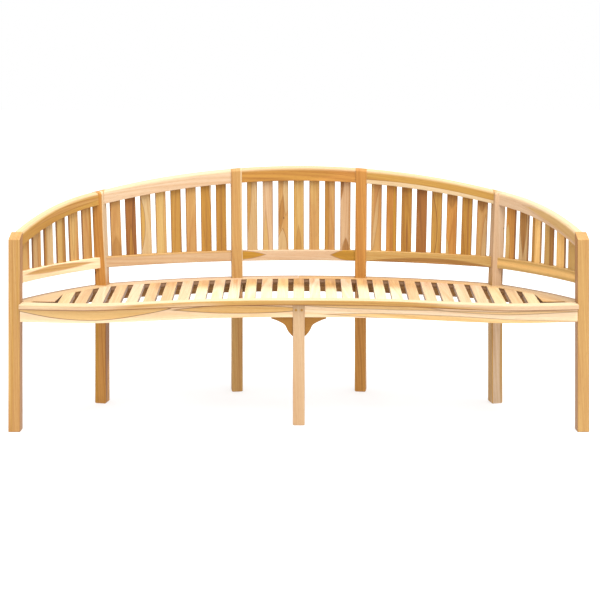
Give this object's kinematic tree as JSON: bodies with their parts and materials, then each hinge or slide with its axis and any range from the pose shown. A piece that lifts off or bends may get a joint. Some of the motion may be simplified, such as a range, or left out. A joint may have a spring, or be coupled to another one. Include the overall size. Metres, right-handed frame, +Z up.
{
  "type": "curved garden bench",
  "caption": "Wide slatted wooden garden bench with a back that curves forward into low arms, an arched top rail and a bowed front edge on a scroll-bracketed centre leg.",
  "frame": {"origin": "on the floor, under the middle of the bench's bounding box", "axes": "+X along the bench's length to the right as seen from the front, +Y to the back, +Z up"},
  "size_m": [2.02, 0.6378, 0.881],
  "materials": {
    "teak_posts": "satin sanded teak, end grain at the feet",
    "teak_rails": "satin sanded teak, long grain along the rail",
    "teak_back_slats": "satin sanded teak, boards of varied tone",
    "teak_seat_boards": "satin sanded teak, pale",
    "teak_seat_slats": "satin sanded teak, boards of varied tone",
    "teak_frame": "satin sanded teak, in the shade under the seat"
  },
  "bodies": {
    "root": {"top_rail_left_side": "teak_rails", "lower_rail_with_slats_left_side": "teak_back_slats", "top_rail_left_middle": "teak_rails", "lower_rail_with_slats_left_middle": "teak_back_slats", "top_rail_centre": "teak_rails", "lower_rail_with_slats_centre": "teak_back_slats", "top_rail_right_middle": "teak_rails", "lower_rail_with_slats_right_middle": "teak_back_slats", "top_rail_right_side": "teak_rails", "lower_rail_with_slats_right_side": "teak_back_slats", "rear_apron_left_side": "teak_frame", "rear_apron_left_middle": "teak_frame", "rear_apron_centre": "teak_frame", "rear_apron_right_middle": "teak_frame", "rear_apron_right_side": "teak_frame", "left_cross_bearer": "teak_frame", "right_cross_bearer": "teak_frame", "left_bracket": "teak_frame", "right_bracket": "teak_frame", "front_seat_board": "teak_seat_boards", "rear_left_seat_board": "teak_seat_boards", "rear_right_seat_board": "teak_seat_boards", "seat_slat_01": "teak_seat_slats", "seat_slat_02": "teak_seat_slats", "seat_slat_03": "teak_seat_slats", "seat_slat_04": "teak_seat_slats", "seat_slat_05": "teak_seat_slats", "seat_slat_06": "teak_seat_slats", "seat_slat_07": "teak_seat_slats", "seat_slat_08": "teak_seat_slats", "seat_slat_09": "teak_seat_slats", "seat_slat_10": "teak_seat_slats", "seat_slat_11": "teak_seat_slats", "seat_slat_12": "teak_seat_slats", "seat_slat_13": "teak_seat_slats", "seat_slat_14": "teak_seat_slats", "seat_slat_15": "teak_seat_slats", "seat_slat_16": "teak_seat_slats", "seat_slat_17": "teak_seat_slats", "seat_slat_18": "teak_seat_slats", "seat_slat_19": "teak_seat_slats", "seat_slat_20": "teak_seat_slats", "seat_slat_21": "teak_seat_slats", "seat_slat_22": "teak_seat_slats", "seat_slat_23": "teak_seat_slats", "seat_slat_24": "teak_seat_slats", "seat_slat_25": "teak_seat_slats", "seat_slat_26": "teak_seat_slats", "seat_slat_27": "teak_seat_slats", "seat_slat_28": "teak_seat_slats", "seat_slat_29": "teak_seat_slats", "front_left_apron": "teak_rails", "front_right_apron": "teak_rails", "front_centre_leg": "teak_posts", "rear_left_outer_post": "teak_posts", "rear_left_inner_post": "teak_posts", "rear_right_inner_post": "teak_posts", "rear_right_outer_post": "teak_posts", "front_left_post": "teak_posts", "front_right_post": "teak_posts"}
  },
  "joints": []
}
